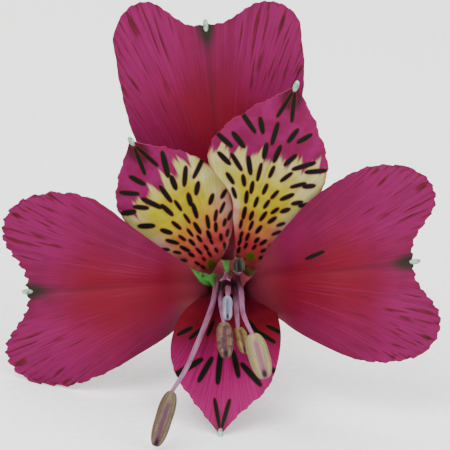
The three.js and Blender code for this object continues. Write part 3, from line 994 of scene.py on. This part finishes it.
def make_anther(name, head, tail, width, skin, rows=60, count=56):
    """Two pollen sacs side by side: a long body with a seam down its front and its back."""
    sac, rim, seam, mottle, bow, waist, mottled = skin
    head, tail = np.array(head, float), np.array(tail, float)
    forward = unit(tail - head)
    across = unit(np.array([1, 0, 0]) - forward * forward[0])
    facing = np.cross(forward, across)
    turn = np.linspace(0, math.pi, rows)[:, None]
    angle = np.linspace(0, 2 * math.pi, count, endpoint=False)[None, :]
    middle = np.exp(-(((turn - math.pi / 2) / 0.35) ** 2))
    swell = np.maximum(np.sin(turn), 0.02) ** 0.66 * (1 - waist * middle + 0.05 * np.cos(turn))
    x = width / 2 * swell * np.cos(angle)
    groove = np.exp(-((x / (0.17 * width)) ** 2))
    depth = 0.4 * width * swell * (1 - 0.42 * groove * (0.6 + 0.4 * np.abs(np.cos(turn))))
    length = np.linalg.norm(tail - head) * (1 - np.cos(turn)) / 2 + 0 * angle
    y = depth * np.sin(angle) + bow * np.sin(turn)
    rings = head + forward * length[..., None] + across * x[..., None] + facing * y[..., None]
    material = pollen_sac_skin(f"{name}_pollen_sacs", sac, rim, seam, mottle, mottled)
    split = np.exp(-(((turn - 2.6) / 0.3) ** 2)) * np.exp(-((x / (0.11 * width)) ** 2))
    values = {"seam": groove * smoothstep(turn, 0.5, 1.2), "split": split + 0 * angle}
    values["edge"] = np.abs(np.cos(angle)) ** 3 + 0 * turn
    make_organ(name, rings, material, "anther_skin", **values)


FILAMENT_SKIN = filament_skin()
for i, (head, tail, width) in enumerate(ANTHERS):
    foot = math.radians(FILAMENT_FEET[i])
    start = (FILAMENT_RING * math.cos(foot), FILAMENT_RING * math.sin(foot), 0.3)
    filament = tube([start, *FILAMENT_BENDS[i], head], FILAMENT_RADII, 110, 20)
    make_organ(f"filament_{i + 1}", filament, FILAMENT_SKIN, "filament_skin")
    make_anther(f"anther_{i + 1}", head, tail, width, ANTHER_SKINS[i])

# ---- style ------------------------------------------------------------------------------------
# The style stands on the middle of the ovary among the filaments. It opens at its end into three
# short stigma arms, which catch the pollen.

STYLE_LENGTH = 21.0
STYLE_RADIUS = 0.42
STYLE_ROWS, ARM_ROWS, STYLE_ROUND = 70, 24, 20  # rings along the style and an arm, points round one


def style_skin():
    """Style skin: rosy and moist, duller at the stigma."""
    material, shader = new_material("style_skin")
    along = node(material, "Attribute", attribute_name="along").outputs["Fac"]
    rose = paint(material, colour("#6E2040"), [(along, 0.2, 0.95, 1.0, "#6A3A54")])
    wire(material, shader, {"Base Color": rose, "Roughness": 0.4, "Subsurface Weight": 0.15})
    shader.inputs["Subsurface Scale"].default_value = 0.4 * MM
    shader.inputs["Specular IOR Level"].default_value = 0.3
    return material


style_top = np.array([-0.4, 0.5, STYLE_LENGTH])
style_line = [(0, 0, 0.3), (0.1, 0.3, STYLE_LENGTH / 2), style_top]
parts = [tube(style_line, [STYLE_RADIUS, STYLE_RADIUS, 0.36], STYLE_ROWS, STYLE_ROUND)]
for arm in (90, 210, 330):
    out = np.array([math.cos(math.radians(arm)), math.sin(math.radians(arm)), 0])
    ends = [
        style_top - [0, 0, 0.3],
        style_top + 0.15 * out + [0, 0, 0.9],
        style_top + 0.8 * out + [0, 0, 1.7],
    ]
    parts.append(tube(ends, [0.26, 0.24, 0.16], ARM_ROWS, STYLE_ROUND))
rings = np.concatenate(parts)
faces, first = [], 0
for part in parts:
    faces.append(ring_faces(*part.shape[:2]) + first)
    first += part.shape[0] * part.shape[1]
style_along = np.repeat(np.linspace(0, 1, STYLE_ROWS), STYLE_ROUND)
along = np.concatenate([style_along, np.ones(3 * ARM_ROWS * STYLE_ROUND)])
style = make_object("style", rings, np.concatenate(faces), [style_skin()], values={"along": along})
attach(style, "root")
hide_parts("style")

# ---- table, lights and camera -------------------------------------------------------------------
# The flower lies on a plain white matt table under wide softboxes, as in a small photo tent.

TABLE_SIZE = 3.0
SOFTBOXES = (
    # place in metres, width, watts
    ((-0.45, -0.55, 0.75), 0.7, 14.0),
    ((0.6, -0.45, 0.55), 0.7, 8.0),
    ((0.0, 0.5, 0.9), 0.8, 8.0),
)
LENS = 219.9  # millimetres, on a sensor 36 mm wide
CAMERA_PLACE = (-0.44, 8.0, 414.0)  # in the flower's frame, looking straight at its face


def table_paper():
    """Seamless studio paper: pressed pulp, matt and nearly white, with a faint tooth of about a
    millimetre."""
    material, shader = new_material("studio_paper")
    tooth = mottling(material, 1.1, 4.0)
    relief = node(material, "Bump", {"Height": tooth, "Strength": 0.1, "Distance": 0.1 * MM})
    paper = paint(material, colour("#F3F1EF"), [(tooth, 0.3, 0.7, 1.0, "#FBFAF9")])
    wire(material, shader, {"Base Color": paper, "Normal": relief.outputs["Normal"]})
    shader.inputs["Roughness"].default_value = 0.9
    return material


bpy.ops.mesh.primitive_grid_add(x_subdivisions=8, y_subdivisions=8, size=TABLE_SIZE)
table = bpy.context.object
table.name = "table_top"
table.data.materials.append(table_paper())
table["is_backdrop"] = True

flower_middle = Vector(tuple((np.array(bounds_before[0]) + bounds_before[1]) / 2))
for i, (place, width, watts) in enumerate(SOFTBOXES):
    softbox = bpy.data.lights.new(f"softbox_{i + 1}", "AREA")
    softbox.size = width
    softbox.energy = watts
    lamp = bpy.data.objects.new(f"softbox_{i + 1}", softbox)
    lamp.location = place
    lamp.rotation_euler = (flower_middle - Vector(place)).to_track_quat("-Z", "Y").to_euler()
    bpy.context.scene.collection.objects.link(lamp)

world = bpy.data.worlds.new("photo_tent")
world.use_nodes = True
world.node_tree.nodes["Background"].inputs["Color"].default_value = (1, 1, 1, 1)
world.node_tree.nodes["Background"].inputs["Strength"].default_value = 1.05
bpy.context.scene.world = world

lens = bpy.data.cameras.new("camera")
lens.lens = LENS
lens.sensor_width = 36.0
lens.clip_start = 0.02
camera = bpy.data.objects.new("camera", lens)
camera_turn = TO_TABLE.to_quaternion().to_matrix().to_4x4()
camera.matrix_world = Matrix.Translation(TO_TABLE @ Vector(CAMERA_PLACE)) @ camera_turn
bpy.context.scene.collection.objects.link(camera)
bpy.context.scene.camera = camera

bounds_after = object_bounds()
sizes = {
    "cad": [list(map(float, corner)) for corner in bounds_before],
    "visual": [list(map(float, corner)) for corner in bounds_after],
}
